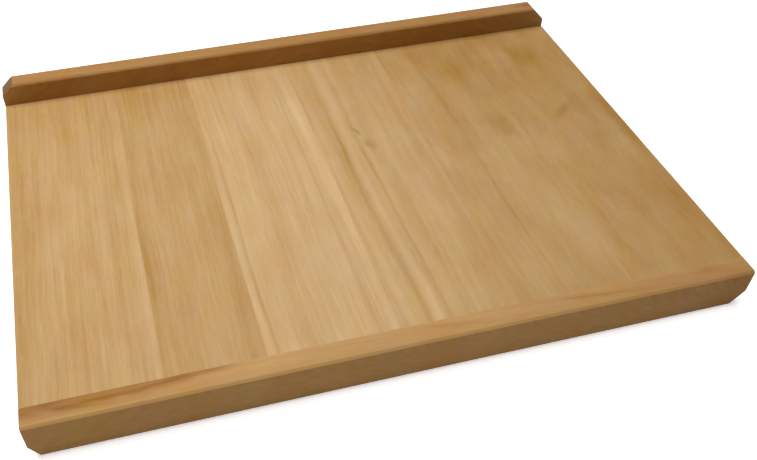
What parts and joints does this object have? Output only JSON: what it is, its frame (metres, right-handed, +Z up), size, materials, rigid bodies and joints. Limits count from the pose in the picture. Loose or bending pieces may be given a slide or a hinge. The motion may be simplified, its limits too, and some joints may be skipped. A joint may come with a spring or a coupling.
{
  "type": "pastry board",
  "caption": "Two-sided wooden pastry board: a glued plank panel, a front rail that hooks over the worktop edge and a rear rail that stands up as a backstop.",
  "frame": {"origin": "middle of the panel's underside, the face that lies on the worktop", "axes": "+X along the rails to the right as seen from the front, +Y from the front rail to the rear rail, +Z up"},
  "size_m": [0.7, 0.5, 0.072],
  "materials": {
    "panel_wood": "sanded, bare or lightly oiled",
    "rail_wood": "sanded, bare or lightly oiled",
    "dowel_wood": "bare"
  },
  "bodies": {
    "root": {"plank_1": "panel_wood", "plank_2": "panel_wood", "plank_3": "panel_wood", "plank_4": "panel_wood", "plank_5": "panel_wood", "plank_6": "panel_wood", "front_rail": "rail_wood", "rear_rail": "rail_wood", "front_dowel_01": "dowel_wood", "front_dowel_02": "dowel_wood", "front_dowel_03": "dowel_wood", "front_dowel_04": "dowel_wood", "front_dowel_05": "dowel_wood", "front_dowel_06": "dowel_wood", "front_dowel_07": "dowel_wood", "front_dowel_08": "dowel_wood", "front_dowel_09": "dowel_wood", "front_dowel_10": "dowel_wood", "front_dowel_11": "dowel_wood", "front_dowel_12": "dowel_wood", "rear_dowel_01": "dowel_wood", "rear_dowel_02": "dowel_wood", "rear_dowel_03": "dowel_wood", "rear_dowel_04": "dowel_wood", "rear_dowel_05": "dowel_wood", "rear_dowel_06": "dowel_wood", "rear_dowel_07": "dowel_wood", "rear_dowel_08": "dowel_wood", "rear_dowel_09": "dowel_wood", "rear_dowel_10": "dowel_wood", "rear_dowel_11": "dowel_wood", "rear_dowel_12": "dowel_wood"}
  },
  "joints": []
}
